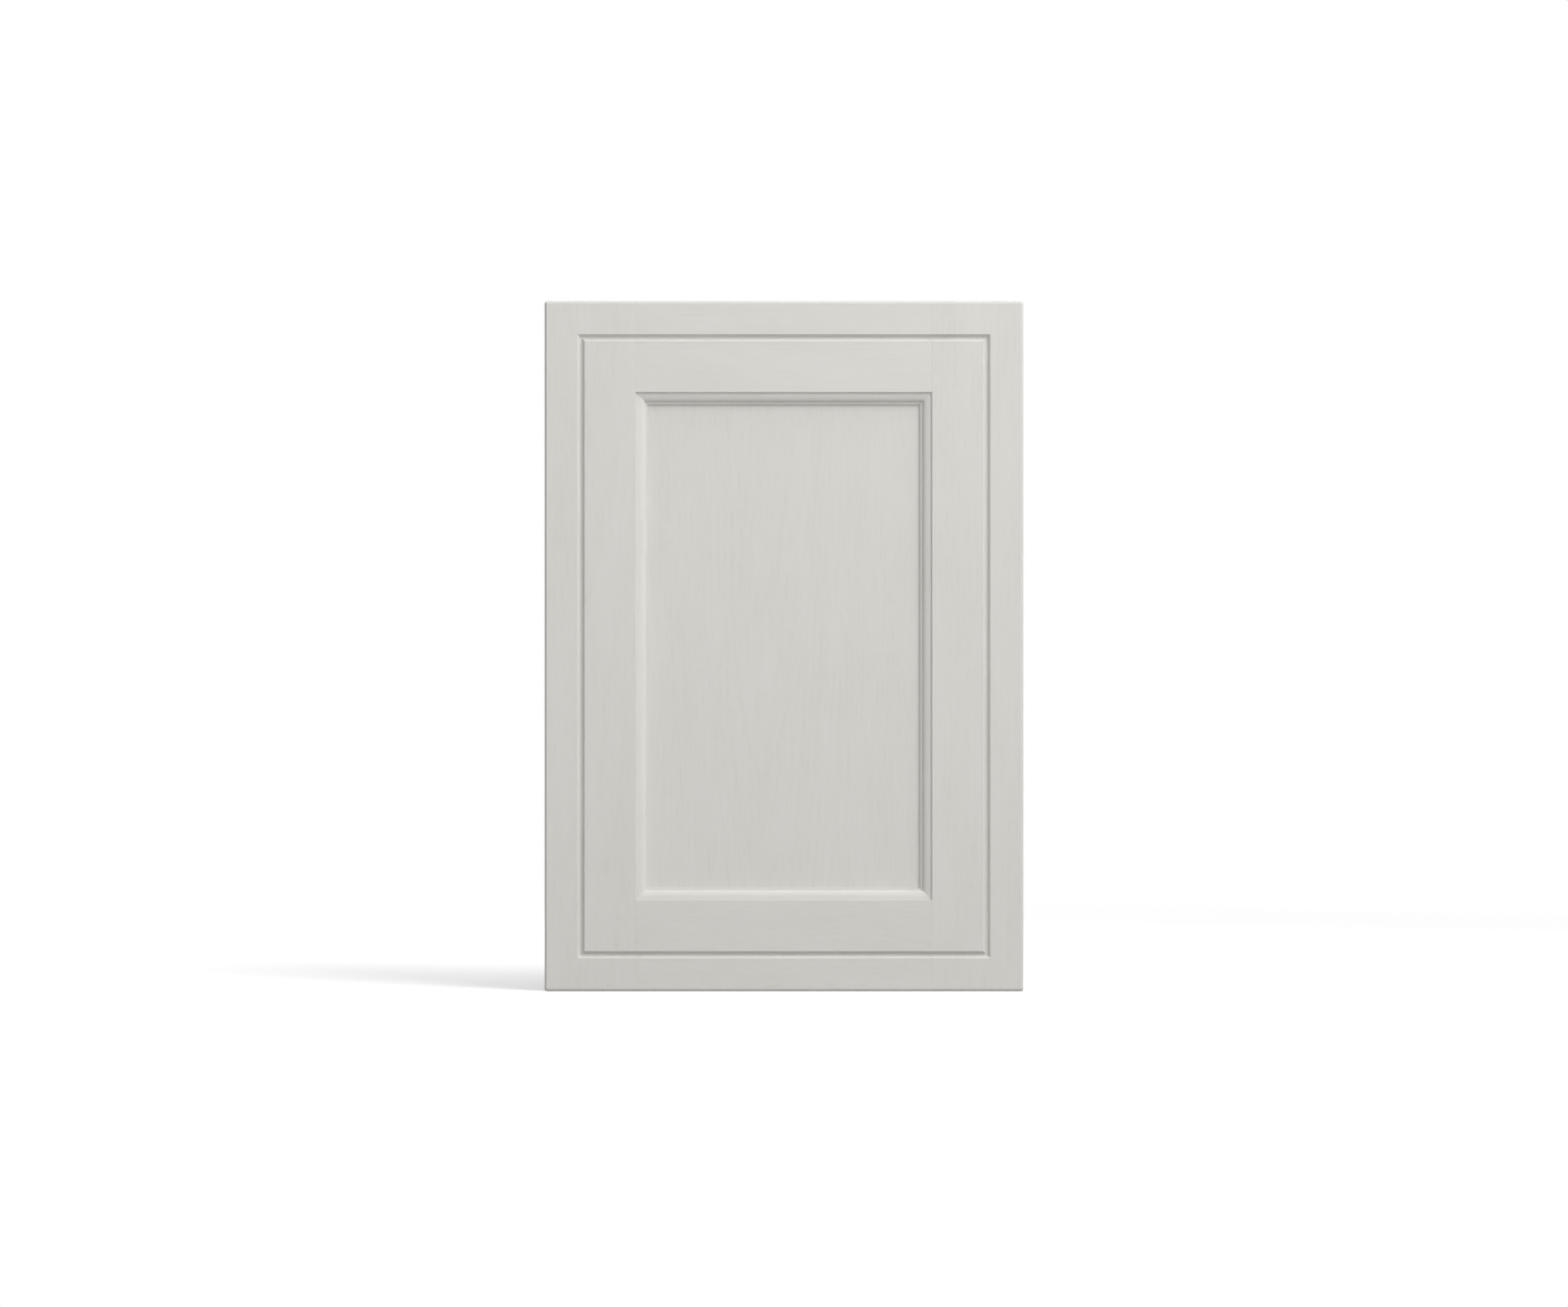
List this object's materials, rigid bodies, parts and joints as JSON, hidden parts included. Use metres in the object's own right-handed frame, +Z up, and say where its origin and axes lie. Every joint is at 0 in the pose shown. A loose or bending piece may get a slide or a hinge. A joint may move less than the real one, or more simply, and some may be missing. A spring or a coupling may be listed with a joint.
{
  "type": "kitchen cabinet door",
  "caption": "Painted timber cabinet door: mitred V groove round the face, moulded frame scribed at the corners, flat panel, hinge bores behind.",
  "frame": {"origin": "middle of the width and of the thickness, at the bottom edge", "axes": "+X to the right seen from the front, -Y out of the front face, +Z up"},
  "size_m": [0.496, 0.022, 0.715],
  "materials": {
    "frame_paint": "satin paint over open-grained timber",
    "panel_paint": "satin paint over veneer",
    "dowel_beech": "bare"
  },
  "bodies": {
    "root": {"left_stile": "frame_paint", "right_stile": "frame_paint", "top_rail": "frame_paint", "bottom_rail": "frame_paint", "centre_panel": "panel_paint", "top_left_dowel_1": "dowel_beech", "top_left_dowel_2": "dowel_beech", "top_right_dowel_1": "dowel_beech", "top_right_dowel_2": "dowel_beech", "bottom_left_dowel_1": "dowel_beech", "bottom_left_dowel_2": "dowel_beech", "bottom_right_dowel_1": "dowel_beech", "bottom_right_dowel_2": "dowel_beech"}
  },
  "joints": []
}
